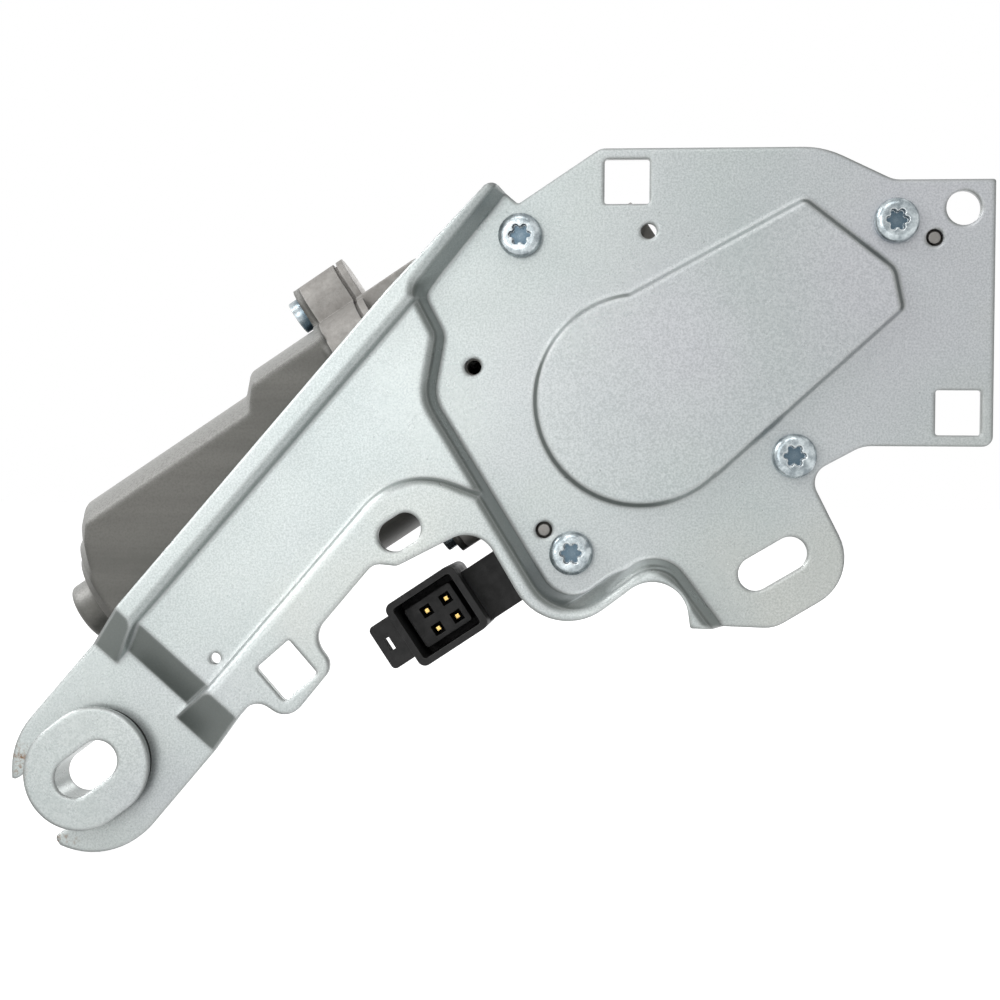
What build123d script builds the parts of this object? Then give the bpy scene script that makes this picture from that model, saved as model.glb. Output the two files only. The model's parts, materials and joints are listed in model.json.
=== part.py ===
"""Rear wiper motor: worm gearmotor with crank-and-sector drive on a pressed bracket.

Millimetres, +Z up.  The pressed bracket stands upright and faces -Y, the output
shaft points along +Y.  Shapes are drawn with X right, Z up and Y measured from the
front face of the bracket's main plate, then moved so that the origin lies on the
output shaft where its threaded stud begins.
"""
from build123d import *
from math import acos, atan2, cos, degrees, hypot, pi, radians, sin, sqrt, tan
import os

os.makedirs("parts", exist_ok=True)

# ---------------------------------------------------------------- driving sizes
SHEET = 2.0                      # bracket sheet
SEAT_Y = 57.0                    # where the wiper arm's stud begins
AXIS_Y = 13.0                    # depth of the worm and motor axis
WEB_Y, LIP_Y, PAD_Y = -6.0, -8.7, -2.0          # raised levels of the bracket
WALL_SLOPE = 14.0                # draft of the pressed walls, degrees
BENDS = [(0.8, 35), (0.6, 62)]   # heights and slopes that round the top of a wall

WHEEL = (-40.0, -25.0)           # worm wheel axis, from the output axis at (0, 0)
MOTOR_TILT = radians(33.8)       # motor axis above the horizontal
WHEEL_TEETH, WHEEL_R = 60, 25.75
WORM_R = 4.25
WORM_OFFSET = WHEEL_R + WORM_R   # worm axis to wheel axis
CAVITY_R = WHEEL_R + 2.55        # housing's cavity and wall round the wheel
HOUSING_R = CAVITY_R + 2.7
WORM_PITCH = 2 * pi * WHEEL_R / WHEEL_TEETH
CRANK_R = 7.0                    # crank pin circle on the wheel
LINK = 16.0                      # output axis to sector axis
COUPLER = 44.0                   # sector axis to crank pin
PINION_TEETH, SECTOR_TEETH, GEAR_M = 14, 18, 1.0
PRESSURE = radians(25)

SCREWS = [(-67.0, 11.5), (15.5, 14.4), (-6.1, -37.2), (-55.1, -59.2)]
BUSH = (-164.9, -109.4)          # slotted bush in the fork
BUSH_TILT = 37.0                 # its long way and the fork's mouth, degrees
FORK_END, FORK_R = (-165.1, -110.6), 18.7    # round end of the fork, about the bush
BUSH_SLOT = (9.2, 16.1)          # clear slot through the bush
NECK_SHIFT = 3.5                 # grommet's neck, half its length over its width
ROUND_HOLE = (30.1, 17.3)
PEGS = [(23.9, 10.8), (-61.3, -54.1)]              # housing's locating pegs, in plate holes
DRAIN = (-77.5, -17.7)                             # deep hole in the housing's neck

# depths of the gear train
LINK_Y = (2.5, 4.2)
SECTOR_Y = (4.5, 7.5)
PINION_Y = (4.4, 8.4)
RIM_Y = (9.5, 16.5)
FLOOR_Y = (18.6, 21.6)           # gear housing floor, inside and outside
FACE_Y = 2.7                     # gear housing rim, behind the gasket

# stations along the motor axis, from the foot of the wheel axis
YOKE_REAR, YOKE_NECK, YOKE_FACE = -123.0, -73.0, -53.1
FLANGE_T = 1.6
YOKE_FLAT, CAN_WALL = 14.5, 1.6   # half thickness across the can's flats
CAN_R, FLARE_R = 21.8, 25.7      # the can's round sides, and the same at its open end
EAR_V = FLARE_R + 4.6            # yoke screws, either side of the motor axis
BLOCK_T = (YOKE_FACE + FLANGE_T, -39.6)            # housing's face against the yoke
CARD_T = (BLOCK_T[0], BLOCK_T[0] + 1.9)            # brush card, let into that face
SHAFT_T = (-133.5, 19.0)

U = (cos(MOTOR_TILT), sin(MOTOR_TILT))           # along the motor axis, in (x, z)
V = (sin(MOTOR_TILT), -cos(MOTOR_TILT))          # across it, towards the wheel
FOOT = (WHEEL[0] - WORM_OFFSET * V[0], WHEEL[1] - WORM_OFFSET * V[1])


# ---------------------------------------------------------------- drawing helpers
def front(y):
    """A drawing plane facing the viewer (-Y) at depth y: its own x, y are X, Z."""
    return Plane(origin=(0, y, 0), x_dir=(1, 0, 0), z_dir=(0, -1, 0))


def plan(y):
    """As front(y), but drawn along the motor axis: x runs along it, y across it."""
    return Plane(origin=(FOOT[0], y, FOOT[1]), x_dir=(U[0], 0, U[1]), z_dir=(0, -1, 0))


def station(t):
    """A plane across the motor axis at t: its own x points to the wheel, y is Y."""
    origin = (FOOT[0] + t * U[0], AXIS_Y, FOOT[1] + t * U[1])
    return Plane(origin=origin, x_dir=(V[0], 0, V[1]), z_dir=(U[0], 0, U[1]))


def prism(sketch, y0, y1, taper=0.0, plane=front):
    """A sketch made solid from depth y0 (nearer the viewer) back to y1."""
    return extrude(plane(y1) * sketch, y1 - y0, taper=taper)


def along(sketch, t0, t1, taper=0.0):
    """A sketch across the motor axis made solid from station t0 to t1."""
    return extrude(station(t0) * sketch, t1 - t0, taper=taper)


def disc(centre, r, y0, y1):
    return prism(Pos(*centre) * Circle(r), y0, y1)


def ring(centre, r_in, r_out, y0, y1):
    return disc(centre, r_out, y0, y1) - disc(centre, r_in, y0 - 1, y1 + 1)


def sleeve(r_in, r_out, t0, t1):
    return along(Circle(r_out) - Circle(r_in), t0, t1)


def toward(centre, angle, reach):
    """The point at a distance and angle (degrees) from a centre."""
    return (centre[0] + reach * cos(radians(angle)), centre[1] + reach * sin(radians(angle)))


def angle_of(start, end):
    return degrees(atan2(end[1] - start[1], end[0] - start[0]))


def outline(corners):
    """A closed face from corners (x, y, radius), with each corner rounded."""
    edges, ends = [], []
    for i, (x, y, r) in enumerate(corners):
        before, after = corners[i - 1], corners[(i + 1) % len(corners)]
        a, b = Vector(before[0] - x, before[1] - y), Vector(after[0] - x, after[1] - y)
        a, b, corner = a.normalized(), b.normalized(), Vector(x, y)
        half = acos(max(-1, min(1, a.dot(b)))) / 2
        if r == 0:
            ends.append((corner, corner))
            continue
        start, end = corner + a * (r / tan(half)), corner + b * (r / tan(half))
        middle = corner + (a + b).normalized() * (r / sin(half) - r)
        edges.append(ThreePointArc(start, middle, end))
        ends.append((start, end))
    for i, (start, _) in enumerate(ends):
        leave = ends[i - 1][1]
        if (start - leave).length > 1e-3:
            edges.append(Line(leave, start))
    return make_face(edges)


def capsule(p, r_p, q, r_q):
    """The outline of a belt round two circles."""
    reach, lean = hypot(q[0] - p[0], q[1] - p[1]), angle_of(p, q)
    side = degrees(acos((r_p - r_q) / reach))
    belt = [toward(p, lean + side, r_p), toward(q, lean + side, r_q),
            toward(q, lean - side, r_q), toward(p, lean - side, r_p)]
    return Pos(*p) * Circle(r_p) + Pos(*q) * Circle(r_q) + make_face(Polyline(*belt, close=True))


def slot(centre, width, length, angle):
    return Pos(*centre) * Rot(0, 0, angle) * SlotOverall(length, width)


def tilted_square(centre, side, angle, r=0.6):
    return Pos(*centre) * Rot(0, 0, angle) * RectangleRounded(side, side, r)


# ---------------------------------------------------------------- pressed bracket
def bracket_trim():
    """The cut outline of the whole bracket, seen from the front."""
    arm_edge = [(-95.6, -1.0, 30), (-72.9, 23.1, 2.5), (-67.6, 18.6, 0.8)]
    top = [(-49.3, 30.8, 3.4), (-0.3, 30.8, 20), (14.9, 23.5, 6), (36.9, 23.5, 0.6)]
    right = [(36.9, -34.9, 2.3), (8.8, -34.9, 8), (-2.9, -41.3, 4.3)]
    ear = [(8.7, -64.0, 11.3), (-10.0, -75.4, 8)]
    lip = [(-28.7, -74.9, 0.6), (-31.0, -58.4, 7.8), (-59.2, -79.9, 13), (-75.3, -52.8, 7)]
    strip = [(-93.2, -62.1, 2), (-98.6, -61.6, 4), (-112.2, -77.9, 5)]
    tab = [(-107.3, -84.5, 3.5), (-117.3, -96.9, 4.5), (-125.0, -91.9, 4)]
    fork = [toward(FORK_END, -42, FORK_R) + (0,), FORK_END + (0,),
            toward(FORK_END, 139.1, FORK_R) + (0,)]
    sheet = outline(arm_edge + top + right + ear + lip + strip + tab + fork)
    sheet += Pos(*FORK_END) * Circle(FORK_R)
    return sheet - fork_mouth()


def fork_mouth():
    """The open slot of the fork, whose prong tips are cut square across its mouth."""
    lead = outline([(NECK_SHIFT, 8, 0), (-17, 8, 1.2), (-17, 30, 0), (-40, 30, 0),
                    (-40, -30, 0), (-17, -30, 0), (-17, -8, 1.2), (NECK_SHIFT, -8, 0)])
    return Pos(*BUSH) * Rot(0, 0, BUSH_TILT) * (Pos(NECK_SHIFT, 0) * Circle(8) + lead)


def raised_area():
    """Where the sheet is pressed towards the viewer: arm, flange, strip and lip."""
    wall = [(-62.0, 30.5, 0), (-87.9, -1.6, 2.5), (-83.2, -10.5, 6), (-85.6, -24.5, 8),
            (-56.1, -72.1, 8), (-35.0, -56.0, 9), (-12.0, -86.6, 0)]
    return outline(wall + [(-120, -140, 0), (-220, -90, 0), (-110, 40, 0)])


def strip_area():
    """Right of the web: the strip, the square tab and the lip below the plate."""
    return outline([(-163, -117.7, 0), (-93.6, -36.8, 20), (-64, -47.8, 0), (0, -43, 0),
                    (0, -150, 0), (-163, -150, 0)])


def flange_area():
    """The crest along the arm's outer edge."""
    return outline([(-233.9, -173.0, 0), (-55, 33.4, 0), (-120, 60, 0), (-260, -120, 0)])


def end_wedge(inset, shift):
    """What the sloping end wall leaves off, towards the fork."""
    toe = (-158.0 - 0.655 * shift, -81.5 - 0.757 * shift)
    slope = Plane(origin=(toe[0], inset, toe[1]), x_dir=(0.757, 0, -0.655),
                  z_dir=(-0.655 * 6, -8.1, -0.757 * 6))
    return slope * Pos(0, 0, 60) * Box(300, 300, 120)


def pressed(area, level, inset):
    """One level: a drafted wall, then the bend round onto the level itself."""
    if inset:
        area = offset(area, amount=-inset)
    bend = sum(height for height, _ in BENDS)
    body = prism(area, level + inset + bend, SHEET + inset / 2, WALL_SLOPE)
    for height, slope in BENDS:
        face = body.faces().sort_by(Axis.Y)[0]
        body += extrude(face, height, dir=(0, -1, 0), taper=slope)
    return body


def raised_body(inset):
    """The raised levels as one body; inset > 0 gives the hollow behind the sheet."""
    area = raised_area()
    web = pressed(area, WEB_Y, inset)
    flange = pressed(area & flange_area(), LIP_Y, inset)
    strip = pressed(area & strip_area(), LIP_Y, inset)
    lift = inset * 1.15
    return (web - end_wedge(lift, 0)) + (flange + strip - end_wedge(lift, 4))


def pad_area():
    lobe = outline([(-4.2, 20.6, 3), (-56.5, -8.0, 0), WHEEL + (0,), (-23.2, -43.2, 0),
                    (18.4, -5.2, 3), (16.3, 4.6, 5)])
    return lobe + Pos(*WHEEL) * Circle(24.6)


def bracket_holes():
    """Everything cut through the sheet."""
    cuts = [slot((-10.5, -61.1), 7.6, 16.4, 31), slot((-92.7, -54.6), 7.1, 10.1, 33),
            Pos(*ROUND_HOLE) * Circle(3.8)]
    cuts += [tilted_square((-43.4, 23.5), 10, 0), tilted_square((29.4, -27.5), 9.9, 0),
             tilted_square((-117.8, -85.6), 9.8, 41.5)]
    for spot, r in [(DRAIN, 1.9), ((-38.5, 12.5), 1.75), ((-134.6, -83.5), 1.25),
                    (PEGS[0], 1.9), (PEGS[1], 1.9)]:
        cuts.append(Pos(*spot) * Circle(r))
    cuts += [Pos(*screw) * Circle(2.7) for screw in SCREWS]
    return [prism(cut, -12, 4) for cut in cuts]


def bracket_plate():
    sheet = prism(Pos(-70, -50) * Rectangle(260, 200), 0, SHEET)
    pad = prism(pad_area(), PAD_Y, 1.0, 30)
    body = sheet + raised_body(0) + pad
    hollow = raised_body(SHEET)
    pad_hollow = prism(offset(pad_area(), amount=-SHEET), PAD_Y + SHEET, 3.0, 30)
    body = body - hollow - pad_hollow
    body = body & prism(bracket_trim(), -12, SHEET)
    for cut in bracket_holes():
        body -= cut
    return body


# ---------------------------------------------------------------- gears
def gear(teeth, pitch_r, add, ded, pressure, play, gap_at=None, tooth_at=None, steps=4):
    """An involute gear's outline with one gap or tooth centred at a given angle."""
    base = pitch_r * cos(pressure)
    tip, root = pitch_r + add, pitch_r - ded
    half = pi / (2 * teeth) - play / (2 * pitch_r)

    def lean(r):
        a = acos(min(1, base / r))
        return half + (tan(pressure) - pressure) - (tan(a) - a)

    low = max(base, root)
    radii = [low + (tip - low) * i / (steps - 1) for i in range(steps)]
    first = radians(tooth_at if gap_at is None else gap_at + 180 / teeth)
    points = []
    for i in range(teeth):
        at = first + 2 * pi * i / teeth
        rise = [(r, at - lean(r)) for r in radii]
        fall = [(r, at + lean(r)) for r in reversed(radii)]
        foot = [] if low == root else [(root, at - lean(low))]
        end = [] if low == root else [(root, at + lean(low))]
        points += [(r * cos(a), r * sin(a)) for r, a in foot + rise + fall + end]
    return make_face(Polyline(*points, close=True))


def solve_linkage():
    """Where the sector's axis and crank pin stand with the crank pointing at them."""
    reach = hypot(*WHEEL)
    stretch = COUPLER + CRANK_R
    swing = degrees(acos((LINK**2 + reach**2 - stretch**2) / (2 * LINK * reach)))
    sector = toward((0, 0), angle_of((0, 0), WHEEL) - swing, LINK)
    crank = toward(WHEEL, angle_of(WHEEL, sector), CRANK_R)
    return sector, crank


SECTOR, CRANK = solve_linkage()


def worm_wheel():
    """Helical rim, thin web and a hub thick enough for the crank pin."""
    lead = WORM_PITCH / (2 * pi * WORM_R)
    twist = lead / WHEEL_R * (RIM_Y[1] - RIM_Y[0])
    facing = angle_of(WHEEL, FOOT) - degrees(twist) / 2
    teeth = gear(WHEEL_TEETH, WHEEL_R, 0.8, 1.05, radians(20), 0.06, gap_at=facing, steps=3)
    face = (front(RIM_Y[1]) * Pos(*WHEEL) * teeth).faces()[0]
    rim = Solid.extrude_linear_with_rotation(
        face, Vector(WHEEL[0], RIM_Y[1], WHEEL[1]), Vector(0, RIM_Y[0] - RIM_Y[1], 0),
        degrees(twist))
    wheel = Part() + rim
    for y0, y1 in [(RIM_Y[0] - 1, RIM_Y[0] + 2.2), (RIM_Y[1] - 2.2, RIM_Y[1] + 1)]:
        wheel -= ring(WHEEL, 11, 22.6, y0, y1)
    wheel += disc(WHEEL, 11, RIM_Y[0], 18.2)
    for i in range(6):
        arm = Pos(*WHEEL) * Rot(0, 0, 60 * i + 30) * Pos(16.5, 0) * Rectangle(13, 1.6)
        wheel += prism(arm, RIM_Y[0] + 0.8, RIM_Y[1] - 0.8)
    wheel -= disc(WHEEL, AXLE_R + 0.05, 0, 30)
    return wheel - disc(CRANK, CRANK_PIN_R, 0, 15)


AXLE_R, CRANK_PIN_R = 3.5, 2.5


def crank_pin():
    return disc(CRANK, CRANK_PIN_R, SECTOR_Y[1] + 0.3, 15)


def park_disc():
    """The contact ring behind the wheel, with the notch that marks the park position."""
    track = ring(WHEEL, 11, 20, RIM_Y[1] - 0.8, RIM_Y[1] - 0.4)
    notch = Pos(*WHEEL) * Rot(0, 0, 20) * Pos(18.5, 0) * Rectangle(5, 6)
    return track - prism(notch, 10, 20)


def park_contacts():
    """Three leaf contacts that stand from the housing floor onto the park ring."""
    leaves = Part()
    for i, reach in enumerate((15.2, 17.2, 19.2)):
        place = Pos(*toward(WHEEL, -75, reach)) * Rot(0, 0, 15)
        leaves += prism(place * Rectangle(9, 1.2), RIM_Y[1] + 0.3, RIM_Y[1] + 0.6)
        leaves += prism(place * Pos(4, 0) * Rectangle(1, 1.2), RIM_Y[1] + 0.3, FLOOR_Y[0])
        tip = place * Pos(-4, 0) * Circle(0.55)
        leaves += prism(tip, RIM_Y[1] - 0.35, RIM_Y[1] + 0.5)
    return leaves


def spindle(profile):
    """A solid of revolution about the output axis from (radius, depth) points."""
    face = make_face(Polyline(*profile, close=True))
    return revolve(face, Axis.Y)


def output_shaft():
    body = spindle([(0, 1.4), (2.7, 1.4), (3, 1.7), (3, 4.5), (5.5, 4.5), (5.5, 8.4), (6.5, 8.4),
                    (6.5, 10.3), (5, 10.3), (5, 48.3), (4.4, 48.3), (4.4, 49.4), (5, 49.4),
                    (5, 50.5), (4.1, SEAT_Y), (4, SEAT_Y), (4, SEAT_Y + 9.4),
                    (3.4, SEAT_Y + 10), (0, SEAT_Y + 10)])
    toothing = gear(PINION_TEETH, PINION_TEETH * GEAR_M / 2, 0.9, 1.2, PRESSURE, 0.12,
                    tooth_at=angle_of((0, 0), SECTOR))
    return body + prism(toothing, *PINION_Y)


def sector_arm():
    """The coupler: an eye over the crank pin, a bar and a toothed sector."""
    pitch_r = SECTOR_TEETH * GEAR_M / 2
    full = Pos(*SECTOR) * gear(SECTOR_TEETH, pitch_r, 0.9, 1.2, PRESSURE, 0.12,
                               gap_at=angle_of(SECTOR, (0, 0)))
    forward = angle_of(CRANK, SECTOR)
    fan = [SECTOR] + [toward(SECTOR, forward + a, 22) for a in (224, 270, 322)]
    teeth = full & make_face(Polyline(*fan, close=True))
    plate = Pos(*SECTOR) * Circle(5.5) + teeth + capsule(SECTOR, 5.5, CRANK, 5.2)
    eye = Pos(*CRANK) * Circle(CRANK_PIN_R + 0.1)
    return prism(plate - eye - Pos(*SECTOR) * Circle(LINK_PIN_R + 0.05), *SECTOR_Y)


LINK_PIN_R = 2.5


def guide_link():
    plate = capsule((0, 0), 5.5, SECTOR, 4.8)
    holes = Circle(3.05) + Pos(*SECTOR) * Circle(LINK_PIN_R)
    return prism(plate - holes, *LINK_Y)


def link_pin():
    return disc(SECTOR, LINK_PIN_R, LINK_Y[0], 7.8) + disc(SECTOR, 3.8, 7.7, 8.4)


def shaft_washer():
    return ring((0, 0), 5.05, 8.2, 47.25, 48.25)


def shaft_circlip():
    """An E shape sprung into the shaft's groove."""
    clip = Circle(6.8) - Circle(4.42) - Pos(0, -6) * Rectangle(6, 6)
    return prism(clip, 48.35, 49.3)


# ---------------------------------------------------------------- motor
def worm():
    """A right-handed single-start thread on a core, along its own Z."""
    turns, root, tip = 6, WORM_R - 1.0, WORM_R + 0.85
    thick = WORM_PITCH / 2 - 0.12
    foot, crest = thick / 2 + 1.0 * tan(radians(20)), thick / 2 - 0.85 * tan(radians(20))
    height = turns * WORM_PITCH
    path = Helix(WORM_PITCH, height, WORM_R, center=(0, 0, -height / 2))
    tooth = Polyline((root - 0.15, -foot), (tip, -crest), (tip, crest), (root - 0.15, foot),
                     close=True)
    face = Plane(origin=(0, 0, -height / 2), x_dir=(1, 0, 0), z_dir=(0, -1, 0)) * make_face(tooth)
    return sweep(face, path=path, is_frenet=True)


def armature_shaft():
    """Motor shaft with the worm rolled on its front end."""
    shaft = along(Circle(3.0), SHAFT_T[0], -9.5) + along(Circle(3.25), -9.5, 9.5)
    shaft += along(Circle(3.0), 9.5, SHAFT_T[1] - 0.6)
    shaft += along(Circle(2.4), SHAFT_T[1] - 0.6, SHAFT_T[1])
    return shaft + station(0).location * worm()


STACK_T, STACK_R = (-108.0, -76.0), 12.4
POLES = 8


def lamination_stack():
    teeth = Circle(STACK_R) - Circle(3.0)
    for i in range(POLES):
        turn = Rot(0, 0, 360 / POLES * i)
        teeth -= turn * outline([(6.3, 1.1, 0.4), (10.7, 2.9, 0.6), (10.7, -2.9, 0.6),
                                 (6.3, -1.1, 0.4)])
        teeth -= turn * Pos(11.7, 0) * Rectangle(3, 1.6)
    return along(teeth, *STACK_T)


def windings():
    """Copper in the slots, bulging out at both ends of the stack."""
    coils = Part()
    for i in range(POLES):
        turn = Rot(0, 0, 360 / POLES * i)
        bundle = outline([(6.9, 1.0, 0.3), (10.3, 2.3, 0.5), (10.3, -2.3, 0.5), (6.9, -1.0, 0.3)])
        coils += along(turn * bundle, STACK_T[0] - 1, STACK_T[1] + 1)
    for t0, t1 in [(STACK_T[0] - 6.5, STACK_T[0] - 0.5), (STACK_T[1] + 0.5, STACK_T[1] + 6.5)]:
        coils += fillet(sleeve(3.0, 11.3, t0, t1).edges().sort_by(SortBy.LENGTH)[-2:], 2.2)
    return coils


COMMUTATOR_T, COMMUTATOR_R = (-64.5, -54.0), 6.0


def commutator():
    bars = Circle(COMMUTATOR_R) - Circle(3.0)
    for i in range(POLES):
        bars -= Rot(0, 0, 360 / POLES * (i + 0.5)) * Pos(6, 0) * Rectangle(1.6, 0.5)
    return along(bars, *COMMUTATOR_T) + sleeve(5.9, 7.2, COMMUTATOR_T[0], COMMUTATOR_T[0] + 1.5)


def can(profile, flat):
    """A turned shell flattened on two sides, from (station, radius) corners."""
    face = outline(profile)
    side = Plane(origin=station(0).origin, x_dir=station(0).z_dir, z_dir=(0, -1, 0))
    solid = revolve(side * face, Axis(station(0).origin, station(0).z_dir))
    slab = station(-140) * Pos(0, 0, 60) * Box(70, 2 * flat, 120)
    return solid & slab


def flange_outline():
    """Yoke flange and housing face: a flattened round with two screw ears."""
    return RectangleRounded(51.4, 31.4, 11) + capsule((-EAR_V, 0), 5.8, (EAR_V, 0), 5.8)


def yoke_bore():
    return Circle(FLARE_R - CAN_WALL) & Rectangle(60, 2 * (YOKE_FLAT - CAN_WALL))


def ear_holes(r):
    return Pos(-EAR_V, 0) * Circle(r) + Pos(EAR_V, 0) * Circle(r)


def motor_yoke():
    outer = can([(-136, 0, 0), (-136, 7.3, 1.2), (-129.8, 7.3, 1.2), (-129.2, 12.0, 0.5),
                 (-127.6, 12.7, 0.5), (-127.0, 15.2, 0.5), (-125.6, 15.9, 0.5),
                 (-123.4, 19.2, 3), (-120.5, CAN_R, 2), (YOKE_NECK - 2, CAN_R, 2),
                 (YOKE_NECK + 2, FLARE_R, 2), (YOKE_FACE + FLANGE_T, FLARE_R, 0),
                 (YOKE_FACE + FLANGE_T, 0, 0)], YOKE_FLAT)
    bore, mouth = CAN_R - CAN_WALL, FLARE_R - CAN_WALL
    inner = can([(-134.4, 0, 0), (-134.4, 5.7, 0), (-128.4, 5.7, 1), (-122.5, 17.8, 2),
                 (-120.0, bore, 1), (YOKE_NECK - 1.5, bore, 1), (YOKE_NECK + 2.5, mouth, 1),
                 (-50, mouth, 0), (-50, 0, 0)], YOKE_FLAT - CAN_WALL)
    rim = along(flange_outline() - yoke_bore() - ear_holes(2.4), YOKE_FACE, YOKE_FACE + FLANGE_T)
    return (outer - inner) + rim


def magnet(side):
    """One ferrite arc against the can's round side."""
    arc = Circle(CAN_R - CAN_WALL) - Circle(STACK_R + 0.6)
    arc = arc & Pos(side * 15, 0) * Rectangle(16, 23)
    return along(arc, -112, -76)


def yoke_screws():
    screws = Part()
    for v in (-EAR_V, EAR_V):
        head = along(Pos(v, 0) * Circle(4.0), YOKE_FACE - 2.6, YOKE_FACE)
        recess = along(Pos(v, 0) * torx(3.9), YOKE_FACE - 3, YOKE_FACE - 1.0)
        screws += head - recess + along(Pos(v, 0) * Circle(2.0), YOKE_FACE, BLOCK_T[1] - 2)
    return screws


def torx(across):
    """A six-lobed socket."""
    socket = Circle(across * 0.36)
    for i in range(3):
        socket += Rot(0, 0, 60 * i) * SlotOverall(across, across * 0.28)
    return socket


def rear_bearing():
    ball = fillet(sleeve(3.04, 5.7, -133.0, -127.0).edges().filter_by(GeomType.CIRCLE)
                  .sort_by(SortBy.LENGTH)[-2:], 1.2)
    return ball


def front_bearing():
    return sleeve(3.04, 6.0, -40.5, -33.5)


def thrust_pad():
    return along(Circle(6.0), SHAFT_T[1] + 0.1, SHAFT_T[1] + 2.6)


def card_outline(spare):
    return RectangleRounded(44 + 2 * spare, 25.6 + 2 * spare, 10 + spare)


def brush_card():
    """The plastic plate let into the housing's face that carries the brush gear."""
    card = along(card_outline(0) - Circle(8.5), *CARD_T)
    for side in (-1, 1):
        tube = Pos(side * 15.5, 0) * Rectangle(15, 7.4)
        card += along(tube, CARD_T[0] - 9, CARD_T[0]) - brush_slot(side)
    return card


def brush_slot(side):
    origin = station(CARD_T[0] - 5.2)
    return origin * Pos(side * 14.5, 0, 0) * Box(15, 4.6, 5.6)


def brushes():
    carbon = Part()
    for side in (-1, 1):
        middle = side * (COMMUTATOR_R + 0.05 + 4.5)
        carbon += station(CARD_T[0] - 5.2) * Pos(middle, 0, 0) * Box(9, 4.5, 5.5)
    return carbon


def brush_springs():
    """A coil spring behind each brush."""
    coils = Part()
    for side in (-1, 1):
        root = station(CARD_T[0] - 5.2)
        plane = Plane(origin=root.from_local_coords((side * 15.9, 0, 0)),
                      x_dir=(0, 1, 0), z_dir=root.x_dir * side)
        wire = Helix(1.2, 4.8, 1.7)
        section = Plane(origin=wire @ 0, z_dir=wire % 0) * RegularPolygon(0.3, 6)
        coils += plane.location * sweep(section, path=wire, is_frenet=True)
    return coils


def chokes():
    """Two suppression coils on the brush card."""
    rods = Part()
    for side in (-1, 1):
        at = Pos(side * 9.5, side * 9.9)
        rods += along(at * Circle(2.2), CARD_T[0] - 11, CARD_T[0] - 1.5)
        rods += along(at * Circle(0.5), CARD_T[0] - 13, CARD_T[0])
    return rods


# ---------------------------------------------------------------- gear housing
TOWER_END = 47.0


def housing_area():
    return capsule(WHEEL, HOUSING_R, (0, 0), 25)


def cavity_area():
    area = capsule(WHEEL, CAVITY_R, (0, 0), 22.4)
    for screw in SCREWS:
        area -= Pos(*screw) * Circle(6.2)
    return area


def screw_lugs():
    """Lugs that carry the four cover screws, run into the casting's wall."""
    anchors = [FOOT, (4, 4), toward(WHEEL, -20, 20), toward(WHEEL, -114, 22)]
    lugs = Sketch()
    for screw, anchor in zip(SCREWS, anchors):
        lugs += capsule(anchor, 8.5, screw, 6.4)
    for screw, peg in zip((SCREWS[1], SCREWS[3]), PEGS):
        lugs += capsule(screw, 6.4, peg, 3.4)
    return lugs


def rim_area():
    """What the cover seats on: the casting's rim and its lugs, less the cavity."""
    holes = Sketch() + [Pos(*screw) * Circle(2.5) for screw in SCREWS]
    holes += [Pos(*peg) * Circle(1.9) for peg in PEGS]
    return housing_area() + screw_lugs() - cavity_area() - holes


def gear_housing():
    body = prism(housing_area() + screw_lugs(), FACE_Y, FLOOR_Y[1])
    body += along(Circle(9.5), BLOCK_T[1] - 1, 23)
    neck = outline([(-41, 25, 0), (-24, 25, 5), (-6, 9.5, 6), (6, 9, 0), (6, -20, 0),
                    (-14, -42, 4), (-41, -31, 0)])
    body += prism(neck, FACE_Y, FLOOR_Y[1], plane=plan)
    body += along(flange_outline(), *BLOCK_T)
    body -= along(flange_outline() - offset(flange_outline(), amount=-0.8),
                  BLOCK_T[1] - 2.4, BLOCK_T[1] - 1.6)
    body -= prism(plan_box((-43.4, -38), (-3, 32)), -5, FACE_Y, plane=plan)
    body += tower() - disc((0, 0), 7, 0, 60)
    body -= prism(cavity_area(), 0, FLOOR_Y[0])
    body += disc((0, 0), 10, 10.6, FLOOR_Y[0]) + disc(WHEEL, 7, 18.4, FLOOR_Y[0])
    body -= disc((0, 0), 7, 0, 60)
    body -= disc(WHEEL, AXLE_R, 0, 30)
    body -= along(Circle(6.0), -60, SHAFT_T[1] + 2.6)
    body -= along(card_outline(0.1), BLOCK_T[0] - 1, CARD_T[1])
    body -= along(card_outline(-1.2), CARD_T[1] - 1, -42)
    body -= along(ear_holes(2.0), BLOCK_T[0] - 1, BLOCK_T[1] - 1.5)
    body -= tongue()
    body -= disc(DRAIN, 1.6, 0, 12)
    for screw in SCREWS:
        body -= disc(screw, 2.5, 0, 18)
    for peg in PEGS:
        body += disc(peg, 1.3, 0.4, FACE_Y + 0.1)
    return body


def tower():
    """The tapered tube round the output shaft, with webs at its foot."""
    cone = spindle([(0, 21), (14.5, 21), (13.2, 27), (12, TOWER_END), (0, TOWER_END)])
    for i in range(6):
        web = front(FLOOR_Y[1]) * Rot(0, 0, 60 * i + 20) * Pos(14, 0) * Rectangle(15, 2.4)
        block = extrude(web, -14)
        lean = spindle([(0, 20), (21.5, 20), (21.5, 22), (12.2, 36), (0, 36)])
        cone += block & lean
    return cone


def housing_gasket():
    return prism(rim_area(), SHEET, FACE_Y)


def shaft_bush(y0, y1):
    return ring((0, 0), 5.05, 7, y0, y1)


def shaft_seal():
    return ring((0, 0), 5.06, 7, 46, TOWER_END)


def wheel_axle():
    return disc(WHEEL, AXLE_R, 8.6, FLOOR_Y[1])


def axle_clip():
    return ring(WHEEL, AXLE_R, 4.3, 8.7, 9.4)


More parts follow.
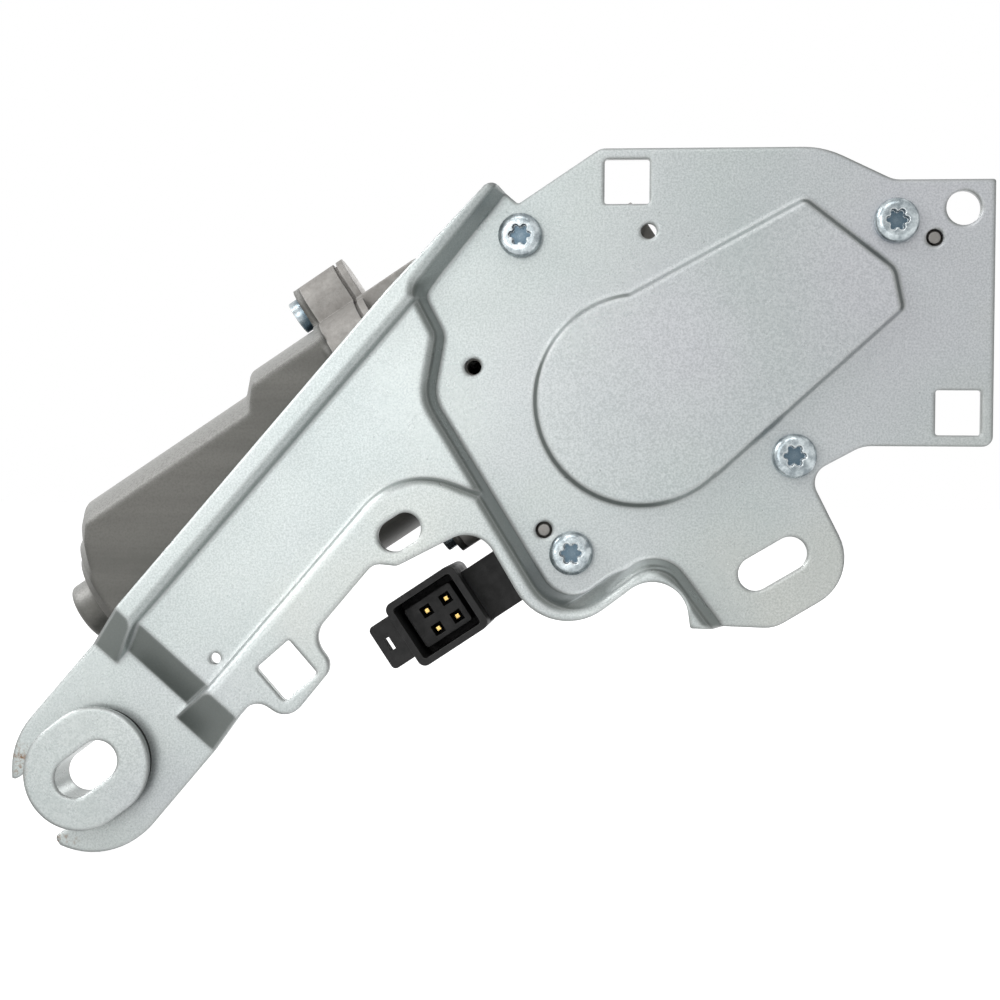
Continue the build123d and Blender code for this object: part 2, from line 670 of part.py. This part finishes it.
def cover_screws():
    """Four pan-head screws with six-lobed sockets."""
    screws = Part()
    for screw in SCREWS:
        head = disc(screw, 4.9, -3.4, 0)
        head = fillet(head.edges().filter_by(GeomType.CIRCLE).sort_by(Axis.Y)[:1], 1.6)
        head -= prism(Pos(*screw) * torx(5.1), -4, -1.2)
        screws += head + disc(screw, 2.5, -0.5, 15)
    return screws


# ---------------------------------------------------------------- connector
CONN_T, CONN_V = (-73.8, -55.5), (37.1, 53.5)
CONN_Y, ISLAND_Y = (-1.5, 20.0), 4.0
PIN_T, PIN_V = (-66.7, -61.5), (43.1, 47.9)


def plan_box(t, v, r=0.0):
    """A rectangle in the plan of the motor, from spans along and across the axis."""
    size = (t[1] - t[0], v[1] - v[0])
    shape = RectangleRounded(*size, r) if r else Rectangle(*size)
    return Pos((t[0] + t[1]) / 2, -(v[0] + v[1]) / 2) * shape


def tongue():
    return prism(plan_box((-48, -43), (16, 48)), 18.0, 24.0, plane=plan)


def connector_housing():
    """The four-way socket on its arm, moulded in one with the lead-in to the housing."""
    body = prism(plan_box(CONN_T, CONN_V, 1.8), *CONN_Y, plane=plan)
    arm = outline([(-60, -40, 0), (-46, -40, 2), (-43, -36.5, 0), (-43, -44, 0), (-43, -53, 3),
                   (-60, -53, 0)])
    body += prism(arm, 6, 20, plane=plan)
    body += tongue()
    latch = plan_box((-79.5, -73), (39.3, 50.3), 1.2)
    latch -= plan_box((-77.7, -76.4), (43.3, 46.3))
    body += prism(latch, CONN_Y[0] + 0.5, CONN_Y[0] + 4, plane=plan)
    wall = 1.5
    inside = plan_box((CONN_T[0] + wall, CONN_T[1] - wall), (CONN_V[0] + wall, CONN_V[1] - wall), 0.8)
    body -= prism(inside, CONN_Y[0] - 1, 12.5, plane=plan)
    island = plan_box((CONN_T[0] + 2.6, CONN_T[1] - 3.4), (CONN_V[0] + 3.2, CONN_V[1] - 3.2), 0.6)
    for t in PIN_T:
        for v in PIN_V:
            island -= plan_box((t - 1.3, t + 1.3), (v - 1.3, v + 1.3))
    body += prism(island, ISLAND_Y, 12.6, plane=plan)
    return body - connector_pins()


def connector_pins():
    pins = Part()
    for t in PIN_T:
        for v in PIN_V:
            pins += prism(plan_box((t - 0.5, t + 0.5), (v - 0.5, v + 0.5)), ISLAND_Y + 0.8, 17,
                          plane=plan)
    return pins


# ---------------------------------------------------------------- fork bush
def bush_shape(width, length):
    return slot(BUSH, width, length, BUSH_TILT)


def fork_grommet():
    """Rubber grommet whose groove grips the fork."""
    neck = Pos(*BUSH) * Rot(0, 0, BUSH_TILT) * SlotOverall(2 * (8 + NECK_SHIFT), 16)
    body = prism(bush_shape(24.4, 29.0), -3.0, 0) + prism(neck, 0, SHEET)
    body += prism(bush_shape(24.4, 29.0), SHEET, 5.0)
    return body - prism(bush_shape(*sleeve_size()), -9, 9)


def sleeve_size():
    return (BUSH_SLOT[0] + 2, BUSH_SLOT[1] + 2)


def bush_sleeve():
    """Steel sleeve with a slotted bore, flanged against the grommet's front."""
    body = prism(bush_shape(25.5, 30.1), -4.6, -3.0) + prism(bush_shape(*sleeve_size()), -4, 6.2)
    return body - prism(bush_shape(*BUSH_SLOT), -9, 9)


# ---------------------------------------------------------------- assembly
def assembly():
    """Every node, by the name a fitter would use."""
    fixed = {
        "bracket_plate": bracket_plate(), "housing_gasket": housing_gasket(),
        "gear_housing": gear_housing(), "cover_screws": cover_screws(),
        "motor_yoke": motor_yoke(), "yoke_screws": yoke_screws(),
        "upper_magnet": magnet(-1), "lower_magnet": magnet(1),
        "rear_bearing": rear_bearing(), "front_bearing": front_bearing(),
        "thrust_pad": thrust_pad(), "brush_card": brush_card(), "brushes": brushes(),
        "brush_springs": brush_springs(), "chokes": chokes(),
        "connector_housing": connector_housing(), "connector_pins": connector_pins(),
        "inner_shaft_bush": shaft_bush(10.6, 19.0), "outer_shaft_bush": shaft_bush(37.0, 46.0),
        "shaft_seal": shaft_seal(), "wheel_axle": wheel_axle(), "axle_clip": axle_clip(),
        "park_contacts": park_contacts(), "fork_grommet": fork_grommet(),
        "bush_sleeve": bush_sleeve(),
    }
    turning = {
        "armature_shaft": armature_shaft(), "lamination_stack": lamination_stack(),
        "windings": windings(), "commutator": commutator(),
        "worm_wheel": worm_wheel(), "crank_pin": crank_pin(), "park_disc": park_disc(),
        "output_shaft": output_shaft(), "shaft_washer": shaft_washer(),
        "shaft_circlip": shaft_circlip(),
        "guide_link": guide_link(), "link_pin": link_pin(), "sector_arm": sector_arm(),
    }
    return fixed | turning


for name, solid in assembly().items():
    export_step(Pos(0, -SEAT_Y, 0) * solid, f"parts/{name}.step")
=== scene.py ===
"""Rear wiper motor: finishes, fine detail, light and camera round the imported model."""
import json
from math import cos, pi, radians, sin

import bmesh
import bpy
from mathutils import Matrix, Vector


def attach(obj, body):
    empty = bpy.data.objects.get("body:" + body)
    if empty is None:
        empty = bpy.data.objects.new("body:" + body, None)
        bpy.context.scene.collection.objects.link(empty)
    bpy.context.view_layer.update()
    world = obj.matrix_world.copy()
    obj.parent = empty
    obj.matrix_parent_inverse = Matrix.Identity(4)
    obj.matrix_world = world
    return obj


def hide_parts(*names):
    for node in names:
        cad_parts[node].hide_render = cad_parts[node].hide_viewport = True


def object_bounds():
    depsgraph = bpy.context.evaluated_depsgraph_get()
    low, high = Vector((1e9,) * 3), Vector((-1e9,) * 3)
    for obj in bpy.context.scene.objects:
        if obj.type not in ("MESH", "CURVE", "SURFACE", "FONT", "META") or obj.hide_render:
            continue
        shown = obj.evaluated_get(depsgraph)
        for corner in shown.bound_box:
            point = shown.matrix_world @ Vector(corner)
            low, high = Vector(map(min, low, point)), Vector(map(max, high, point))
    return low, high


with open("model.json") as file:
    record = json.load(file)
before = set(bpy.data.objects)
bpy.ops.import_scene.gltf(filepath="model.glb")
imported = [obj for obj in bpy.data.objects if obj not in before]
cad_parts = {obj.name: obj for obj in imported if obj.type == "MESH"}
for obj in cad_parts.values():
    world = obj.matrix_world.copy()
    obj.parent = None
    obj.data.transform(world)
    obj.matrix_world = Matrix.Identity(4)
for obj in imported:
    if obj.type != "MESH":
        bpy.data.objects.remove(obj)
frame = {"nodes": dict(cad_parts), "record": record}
CAD_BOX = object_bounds()
NODES = frame["nodes"]

# ------------------------------------------------------------------ camera
SEAT = 0.057                               # depth of the origin behind the plate's face
EYE = Vector((-0.0353, -0.400 - SEAT, -0.0385))
AIM = Vector((-0.0712, -SEAT, -0.0475))    # what the picture's centre looks at
ROLL = radians(0.4)
SENSOR, LENS = 36.0, 64.5


def aim_camera():
    """The photograph's view: square on to the plate, a little from its right."""
    data = bpy.data.cameras.new("photo_camera")
    data.sensor_width, data.lens = SENSOR, LENS
    data.clip_start, data.clip_end = 0.01, 10
    camera = bpy.data.objects.new("photo_camera", data)
    bpy.context.scene.collection.objects.link(camera)
    forward = (AIM - EYE).normalized()
    right = forward.cross(Vector((0, 0, 1))).normalized()
    up = right.cross(forward)
    right, up = right * cos(ROLL) + up * sin(ROLL), up * cos(ROLL) - right * sin(ROLL)
    turn = Matrix((right, up, -forward)).transposed()
    camera.matrix_world = Matrix.Translation(EYE) @ turn.to_4x4()
    bpy.context.scene.camera = camera


# ------------------------------------------------------------------ shader helpers
MIX_A, MIX_B, MIX_RESULT = 6, 7, 2         # the colour sockets of a Mix node
ARM_WAY = (0.80, 0.0, 0.60)                # along the bracket's arm: walls leaning this way get the full painted shade
CAN_UP = (-0.56, 0.0, 0.83)                # square to the can's axis, upwards: the side of the can painted lighter
CAN_TILT = radians(33.8)                   # of the can's axis from level
PRONG_TIPS = [(-0.1826, -0.1088), (-0.1722, -0.1274)]    # x and z of the fork's cut tips
RUST_REACH = (0.0015, 0.0052)              # full up to the first, gone at the second


class Shader:
    """A Principled material with short calls for the nodes that the finishes share."""

    def __init__(self, name, colour, roughness, metallic=0.0):
        self.material = bpy.data.materials.new(name)
        self.material.use_nodes = True
        self.tree = self.material.node_tree
        self.bsdf = self.tree.nodes["Principled BSDF"]
        self.bsdf.inputs["Base Color"].default_value = (*colour, 1)
        self.bsdf.inputs["Roughness"].default_value = roughness
        self.bsdf.inputs["Metallic"].default_value = metallic
        self.coord = self.tree.nodes.new("ShaderNodeTexCoord").outputs["Object"]

    def node(self, kind, inputs=(), **settings):
        """A new node, with its inputs linked or set and its settings given."""
        made = self.tree.nodes.new("ShaderNode" + kind)
        for key, value in settings.items():
            setattr(made, key, value)
        for key, value in dict(inputs).items():
            if isinstance(value, bpy.types.NodeSocket):
                self.tree.links.new(value, made.inputs[key])
            else:
                made.inputs[key].default_value = value
        return made

    def noise(self, scale, detail=4.0, rough=0.6, stretch=(1, 1, 1), turn=(0, 0, 0)):
        """Noise through the piece, with as many features to a metre as the scale says."""
        place = self.node("Mapping", {"Vector": self.coord, "Scale": stretch, "Rotation": turn})
        made = self.node("TexNoise", {"Vector": place.outputs["Vector"], "Scale": scale,
                                      "Detail": detail, "Roughness": rough})
        return made.outputs["Fac"]

    def spread(self, value, low, high, to_low, to_high):
        """A value stretched from one range to another and held within it."""
        made = self.node("MapRange", {"Value": value, "From Min": low, "From Max": high,
                                      "To Min": to_low, "To Max": to_high}, clamp=True)
        return made.outputs["Result"]

    def blend(self, fac, first, second):
        """A colour between two, each given as a colour or a socket."""
        made = self.node("Mix", {"Factor": fac}, data_type="RGBA")
        for socket, value in ((MIX_A, first), (MIX_B, second)):
            if isinstance(value, bpy.types.NodeSocket):
                self.tree.links.new(value, made.inputs[socket])
            else:
                made.inputs[socket].default_value = (*value, 1)
        return made.outputs[MIX_RESULT]

    def unsigned(self, value):
        """A value without its sign."""
        return self.node("Math", {0: value}, operation="ABSOLUTE").outputs["Value"]

    def times(self, first, second):
        return self.node("Math", {0: first, 1: second}, operation="MULTIPLY").outputs["Value"]

    def most(self, first, second):
        return self.node("Math", {0: first, 1: second}, operation="MAXIMUM").outputs["Value"]

    def lean(self, normal, way):
        """How far a normal points along a direction."""
        made = self.node("VectorMath", {0: normal, 1: way}, operation="DOT_PRODUCT")
        return made.outputs["Value"]

    def wall_shade(self, radius):
        """How much painted shade the pressed sheet gets where it leans, 0 to 1, softly across
        each bend.

        A wall that leans along the arm gets it in full, one across it a little, and the
        sheet's cut edges less."""
        soft = self.node("Bevel", {"Radius": radius}, samples=8).outputs["Normal"]
        facing = self.unsigned(self.node("SeparateXYZ", {"Vector": soft}).outputs["Y"])
        along = self.spread(self.unsigned(self.lean(soft, ARM_WAY)), 0.10, 0.48, 0.0, 1.0)
        across = self.spread(facing, 0.50, 0.97, 0.22, 0.0)
        uncut = self.spread(facing, 0.10, 0.40, 0.35, 1.0)
        return self.times(self.most(along, across), uncut)

    def away(self, point):
        """Distance from a line through the sheet at the point given as x and z."""
        flat = self.node("VectorMath", {0: self.coord, 1: (1, 0, 1)}, operation="MULTIPLY")
        made = self.node("VectorMath", {0: flat.outputs["Vector"], 1: (point[0], 0, point[1])},
                         operation="DISTANCE")
        return made.outputs["Value"]

    def hollow(self, reach):
        """1 in the open and 0 deep in a recess, no further than the reach given."""
        made = self.node("AmbientOcclusion", {"Distance": reach}, samples=6)
        return made.outputs["AO"]

    def edges(self, radius):
        """1 on a sharp edge and 0 on a flat, and the normal softened round the edges."""
        soft = self.node("Bevel", {"Radius": radius}, samples=6).outputs["Normal"]
        same = self.lean(soft, self.node("NewGeometry").outputs["Normal"])
        return self.spread(same, 0.998, 0.93, 0.0, 1.0), soft

    def use(self, socket, value):
        self.tree.links.new(value, self.bsdf.inputs[socket])

    def bump(self, height, strength, distance, normal):
        made = self.node("Bump", {"Height": height, "Strength": strength,
                                  "Distance": distance, "Normal": normal})
        self.use("Normal", made.outputs["Normal"])


def zinc():
    """Zinc-plated pressed steel: pale, finely grained, with painted shade on its pressed walls
    and painted highlights on its edges.
    """
    s = Shader("zinc_plate", (0.50, 0.54, 0.54), 0.30, 0.38)
    bloom = s.spread(s.noise(16, 5, 0.6), 0.32, 0.70, 0, 1)
    tone = s.blend(bloom, (0.450, 0.504, 0.500), (0.528, 0.570, 0.556))
    violet = s.spread(s.noise(9, 3, 0.5), 0.50, 0.66, 0, 0.65)
    tone = s.blend(violet, tone, (0.515, 0.510, 0.560))
    warm = s.spread(s.noise(13, 3, 0.5, turn=(1, 0, 1)), 0.54, 0.70, 0, 0.5)
    tone = s.blend(warm, tone, (0.560, 0.555, 0.500))
    grain = s.noise(2300, 3, 0.7)
    tone = s.blend(s.spread(grain, 0.45, 0.70, 0.0, 0.45), tone, (0.74, 0.76, 0.76))
    tone = s.blend(s.spread(grain, 0.52, 0.34, 0.0, 0.40), tone, (0.30, 0.33, 0.33))
    # painted shade: dark on the pressed walls, in full on those leaning along the arm
    tone = s.blend(s.times(s.wall_shade(0.0016), 0.90), tone, (0.105, 0.120, 0.110))
    edge_glint, soft = s.edges(0.0014)
    # painted highlight: paler on the sharp edges
    tone = s.blend(s.times(edge_glint, 0.35), tone, (0.80, 0.82, 0.82))
    for tip in PRONG_TIPS:
        tone = rust(s, tone, tip)
    s.use("Base Color", tone)
    s.use("Roughness", s.spread(s.noise(40, 5, 0.7), 0.25, 0.75, 0.25, 0.33))
    s.bump(grain, 0.12, 0.0001, soft)
    return s.material


def rust(s, tone, tip):
    """Small brown spots round a prong's cut tip."""
    near = s.spread(s.away(tip), *RUST_REACH, 1.0, 0.0)
    spot = s.times(near, s.spread(s.noise(520, 4, 0.7), 0.48, 0.62, 0, 1))
    return s.blend(spot, tone, (0.20, 0.105, 0.045))


def cast():
    """Blasted die-cast alloy with a faint warm bloom, painted shade in its hollows and painted
    highlights on its edges.
    """
    s = Shader("die_cast", (0.34, 0.33, 0.31), 0.6, 0.4)
    patch = s.spread(s.noise(30, 5, 0.65), 0.35, 0.7, 0, 1)
    edge_glint, soft = s.edges(0.0006)
    tone = s.blend(patch, (0.29, 0.28, 0.265), (0.38, 0.365, 0.345))
    # painted shade: dark brown-grey in the hollows
    tone = s.blend(s.hollow(0.004), (0.10, 0.09, 0.08), tone)
    fine = s.spread(s.noise(900, 4, 0.7), 0.42, 0.65, 0, 0.35)
    tone = s.blend(fine, tone, (0.20, 0.185, 0.17))
    # painted highlight: paler on the sharp edges
    s.use("Base Color", s.blend(s.times(edge_glint, 0.3), tone, (0.60, 0.59, 0.57)))
    s.use("Roughness", s.spread(s.noise(400, 3), 0.3, 0.7, 0.5, 0.72))
    s.bump(s.noise(1500, 3, 0.7), 0.35, 0.0003, soft)
    return s.material


def can():
    """Drawn yoke: dull dark grey steel, with painted light making its top side paler where it
    curves away.
    """
    s = Shader("yoke_steel", (0.15, 0.15, 0.14), 0.5, 0.45)
    lines = s.noise(260, 3, 0.5, stretch=(0.05, 1, 1), turn=(0, CAN_TILT, 0))
    patch = s.spread(s.noise(26, 4), 0.35, 0.7, 0, 1)
    tone = s.blend(patch, (0.070, 0.070, 0.063), (0.125, 0.122, 0.112))
    tone = s.blend(s.spread(lines, 0.35, 0.7, 0, 0.2), tone, (0.22, 0.215, 0.20))
    edge_glint, soft = s.edges(0.0022)
    # painted light: the can's top side paler, as if lit from above
    top_light = s.spread(s.lean(soft, CAN_UP), 0.15, 0.95, 0, 0.85)
    tone = s.blend(top_light, tone, (0.45, 0.45, 0.435))
    fine = s.noise(1900, 2, 0.6)
    tone = s.blend(s.spread(fine, 0.42, 0.68, 0, 0.35), tone, (0.07, 0.068, 0.06))
    s.use("Base Color", tone)
    s.use("Roughness", s.spread(patch, 0, 1, 0.40, 0.54))
    s.bump(fine, 0.15, 0.0001, soft)
    return s.material


def plain_metal(name, dark, light, roughness, scale=200.0, glint_radius=0.0003):
    """A bare metal between two tones, with painted shade in its hollows and painted highlights
    at its edges.
    """
    s = Shader(name, dark, roughness, 0.85)
    edge_glint, soft = s.edges(glint_radius)
    tone = s.blend(s.spread(s.noise(scale, 4), 0.3, 0.7, 0, 1), dark, light)
    # painted shade: much darker in the hollows
    open_air = s.spread(s.hollow(0.0012), 0.3, 0.9, 0, 1)
    tone = s.blend(open_air, tuple(c * 0.3 for c in dark), tone)
    # painted highlight: brighter on the sharp edges
    s.use("Base Color", s.blend(edge_glint, tone, tuple(min(1, c * 1.3) for c in light)))
    blotch = s.noise(scale * 2.5, 3)
    s.use("Roughness", s.spread(blotch, 0.3, 0.7, roughness - 0.07, roughness + 0.08))
    s.bump(s.noise(scale * 6, 2), 0.08, 0.0001, soft)
    return s.material


def screw():
    """Bright zinc on the screws, with painted shade, dark and blue, down in the drive and
    painted highlights on the edges.
    """
    s = Shader("screw_steel", (0.45, 0.50, 0.52), 0.22, 0.75)
    tone = s.blend(s.spread(s.noise(420, 4, 0.6), 0.38, 0.62, 0, 1), (0.24, 0.28, 0.30),
                   (0.60, 0.66, 0.68))
    # painted shade: dark blue down in the drive and other recesses
    tone = s.blend(s.spread(s.hollow(0.0045), 0.55, 0.92, 0, 1), (0.09, 0.14, 0.18), tone)
    edge_glint, soft = s.edges(0.0005)
    # painted highlight: near white on the sharp edges
    s.use("Base Color", s.blend(s.times(edge_glint, 0.7), tone, (0.85, 0.88, 0.88)))
    s.use("Roughness", s.spread(s.noise(700, 3), 0.3, 0.7, 0.18, 0.30))
    s.bump(s.noise(1500, 2), 0.1, 0.0001, soft)
    return s.material


def moulded(name, dark, light, roughness, bump=0.15):
    """A moulded or pressed piece without shine, between two tones, with a fine skin and painted
    highlights on its edges.
    """
    s = Shader(name, dark, roughness)
    s.bsdf.inputs["Specular IOR Level"].default_value = 0.3
    tone = s.blend(s.spread(s.noise(70, 4), 0.35, 0.7, 0, 1), dark, light)
    edge_glint, soft = s.edges(0.0003)
    # painted highlight: paler on the sharp edges
    s.use("Base Color", s.blend(edge_glint, tone, tuple(min(1, c * 1.8 + 0.02) for c in light)))
    blotch = s.noise(450, 3)
    s.use("Roughness", s.spread(blotch, 0.3, 0.7, roughness - 0.08, roughness + 0.1))
    s.bump(s.noise(1800, 2), bump, 0.0002, soft)
    return s.material


METALS = {                                 # slot: dark tone, light tone, roughness
    "bronze": ((0.42, 0.27, 0.12), (0.58, 0.40, 0.20), 0.42),
    "copper": ((0.50, 0.22, 0.09), (0.66, 0.33, 0.15), 0.35),
    "laminations": ((0.16, 0.16, 0.17), (0.30, 0.30, 0.31), 0.5),
    "gold_contact": ((0.62, 0.40, 0.12), (0.80, 0.56, 0.20), 0.25),
}
MOULDED = {
    "ferrite": ((0.05, 0.05, 0.055), (0.09, 0.09, 0.095), 0.7),
    "carbon": ((0.02, 0.02, 0.02), (0.05, 0.05, 0.05), 0.6),
    "black_plastic": ((0.007, 0.007, 0.007), (0.013, 0.013, 0.013), 0.55),
    "brown_plastic": ((0.13, 0.075, 0.035), (0.2, 0.12, 0.06), 0.5),
    "acetal": ((0.68, 0.66, 0.60), (0.78, 0.76, 0.70), 0.42),
    "rubber": ((0.010, 0.010, 0.010), (0.022, 0.022, 0.022), 0.7, 0.3),
    "gasket": ((0.03, 0.03, 0.03), (0.07, 0.07, 0.07), 0.85, 0.4),
}


def finishes():
    """One material for each of the record's slots."""
    made = {"zinc_plate": zinc(), "die_cast": cast(), "yoke_steel": can(),
            "screw_steel": screw()}
    made["steel"] = plain_metal("steel", (0.30, 0.30, 0.30), (0.37, 0.37, 0.365), 0.3,
                                scale=900, glint_radius=0.0001)
    made.update({slot: plain_metal(slot, *look) for slot, look in METALS.items()})
    made.update({slot: moulded(slot, *look) for slot, look in MOULDED.items()})
    return made


def dress():
    """Each CAD node gets the finish of its slot."""
    for entry in frame["record"]["subparts"]:
        node = NODES[entry["node"]]
        node.data.materials.clear()
        node.data.materials.append(FINISHES[entry["material_slot"]])


# ------------------------------------------------------------------ fine detail
TURN = 2 * pi
STUD_R, ROOT_R, PITCH = 0.0040, 0.00338, 0.00125       # M8 x 1.25 thread on the shaft's end
STUD_Y, STUD_FOOT = (0.0008, 0.0094), 0.0001
STEPS, RUN_IN = 48, 24                     # stations to a turn, and over each thread end
SUNK = 0.0001                              # of the ridge's foot below the root
FOOT_HALF, CREST_HALF = 0.48, 0.08         # of a pitch
CONE_Y, CONE_R = (-0.0063, -0.0003), (0.0050, 0.00414)  # the taper that the arm sits on
SERRATIONS, SERRATION = 40, 0.00022


def mesh_piece(name, verts, faces, slot, body):
    """A new piece in one finish that rides a body."""
    mesh = bpy.data.meshes.new(name)
    mesh.from_pydata(verts, [], faces)
    shape = bmesh.new()
    shape.from_mesh(mesh)
    bmesh.ops.recalc_face_normals(shape, faces=shape.faces)
    shape.to_mesh(mesh)
    shape.free()
    piece = bpy.data.objects.new(name, mesh)
    bpy.context.scene.collection.objects.link(piece)
    finish(piece, slot)
    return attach(piece, body)


def finish(piece, slot):
    """The piece takes the material of one of the record's slots."""
    piece.data.materials.clear()
    piece.data.materials.append(FINISHES[slot])


def ring_faces(rings, size):
    """Quads between rings of vertices that follow each other, and a cap at each end."""
    faces = [(a * size + b, a * size + (b + 1) % size, (a + 1) * size + (b + 1) % size,
              (a + 1) * size + b) for a in range(rings - 1) for b in range(size)]
    return faces + [tuple(range(size)), tuple(range((rings - 1) * size, rings * size))]


def threaded_shaft():
    """The output shaft with its stud turned down to the root of the thread."""
    node = NODES["output_shaft"]
    piece = bpy.data.objects.new("shaft_turned", node.data.copy())
    piece.data.transform(node.matrix_world)
    for vertex in piece.data.vertices:
        x, y, z = vertex.co
        radius = (x * x + z * z) ** 0.5
        if y > STUD_FOOT and radius > ROOT_R:
            vertex.co = (x * ROOT_R / radius, y, z * ROOT_R / radius)
    bpy.context.scene.collection.objects.link(piece)
    finish(piece, "steel")
    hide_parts("output_shaft")
    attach(piece, "output")


def stud_thread():
    """One helical ridge round the stud, its ends sunk into the root."""
    low = ROOT_R - SUNK
    count = round(STEPS * ((STUD_Y[1] - STUD_Y[0]) / PITCH - 1))
    verts = []
    for i in range(count + 1):
        angle, y = TURN * i / STEPS, STUD_Y[0] + PITCH * (0.5 + i / STEPS)
        crest = low + (STUD_R - low) * min(1, i / RUN_IN, (count - i) / RUN_IN)
        for radius, side in ((low, -FOOT_HALF), (crest, -CREST_HALF), (crest, CREST_HALF),
                             (low, FOOT_HALF)):
            verts.append((radius * cos(angle), y + side * PITCH, radius * sin(angle)))
    mesh_piece("stud_thread", verts, ring_faces(count + 1, 4), "steel", "output")


def taper_serrations():
    """Fine teeth along the taper that the wiper arm's bore bites on."""
    size = 2 * SERRATIONS
    verts = []
    for y, radius in zip(CONE_Y, CONE_R):
        for i in range(size):
            r = radius + (SERRATION if i % 2 else -SERRATION / 2)
            verts.append((r * cos(TURN * i / size), y, r * sin(TURN * i / size)))
    mesh_piece("taper_serrations", verts, ring_faces(2, size), "steel", "output")


# ------------------------------------------------------------------ stage and light
FLOOR_SIZE, FLOOR_GAP = 6, 0.0002          # metres, and clear of the lowest piece
WORLD_LIGHT, WORLD_WHITE = 0.3, 1.0        # as light, and for rays that show background
FLOOR_GLOW = 0.85                          # what the floor adds for those rays
LAMPS = [                                  # name, place, width and watts
    ("softbox", (-0.50, -1.16, 0.0), 0.70, 4.2), ("top", (-0.15, -1.0, 0.8), 0.5, 2.5),
    ("left", (-1.0, -0.4, 0.6), 0.5, 6.0), ("back", (0.3, 0.9, 0.6), 0.8, 6.0)]


def seen(tree):
    """1 for the rays that show the background: camera, glossy and transmission rays."""
    rays = tree.nodes.new("ShaderNodeLightPath").outputs
    total = rays["Is Camera Ray"]
    for name in ("Is Glossy Ray", "Is Transmission Ray"):
        more = tree.nodes.new("ShaderNodeMath")
        more.operation = "MAXIMUM"
        tree.links.new(total, more.inputs[0])
        tree.links.new(rays[name], more.inputs[1])
        total = more.outputs[0]
    return total


def white_floor(z):
    """A pale floor that shows white to the camera and keeps the object's shadow."""
    bpy.ops.mesh.primitive_plane_add(size=FLOOR_SIZE, location=(0, 0, z))
    floor = bpy.context.object
    floor.name = "floor"
    s = Shader("floor", (0.5, 0.5, 0.5), 0.9)
    s.use("Base Color", s.blend(s.spread(s.noise(3, 2), 0.3, 0.7, 0, 1),
                                (0.50, 0.50, 0.50), (0.52, 0.52, 0.52)))
    glow = s.node("Emission", {"Color": (1, 1, 1, 1), "Strength": FLOOR_GLOW})
    both = s.node("AddShader", {0: s.bsdf.outputs[0], 1: glow.outputs[0]})
    pick = s.node("MixShader", {0: seen(s.tree), 1: s.bsdf.outputs[0], 2: both.outputs[0]})
    s.tree.links.new(pick.outputs[0], s.tree.nodes["Material Output"].inputs["Surface"])
    floor.data.materials.append(s.material)


def area_light(name, spot, at, size, power):
    """A square lamp that looks at a point."""
    data = bpy.data.lights.new(name, "AREA")
    data.energy, data.size = power, size
    lamp = bpy.data.objects.new(name, data)
    bpy.context.scene.collection.objects.link(lamp)
    lamp.location = spot
    lamp.rotation_euler = (Vector(at) - Vector(spot)).to_track_quat("-Z", "Y").to_euler()


def light_studio():
    """A surround that shows white and lights less, and four soft lamps."""
    world = bpy.data.worlds.new("studio")
    bpy.context.scene.world = world
    world.use_nodes = True
    tree = world.node_tree
    strength = tree.nodes.new("ShaderNodeMapRange")
    tree.links.new(seen(tree), strength.inputs["Value"])
    strength.inputs["To Min"].default_value = WORLD_LIGHT
    strength.inputs["To Max"].default_value = WORLD_WHITE
    back = tree.nodes["Background"]
    back.inputs["Color"].default_value = (1, 1, 1, 1)
    tree.links.new(strength.outputs["Result"], back.inputs["Strength"])
    middle = (CAD_BOX[0] + CAD_BOX[1]) / 2
    for name, spot, size, power in LAMPS:
        area_light(name, spot, middle, size, power)


# ------------------------------------------------------------------ the scene
bpy.context.scene.view_settings.view_transform = "Standard"
aim_camera()
FINISHES = finishes()
dress()
threaded_shaft()
stud_thread()
taper_serrations()
light_studio()
white_floor(CAD_BOX[0][2] - FLOOR_GAP)
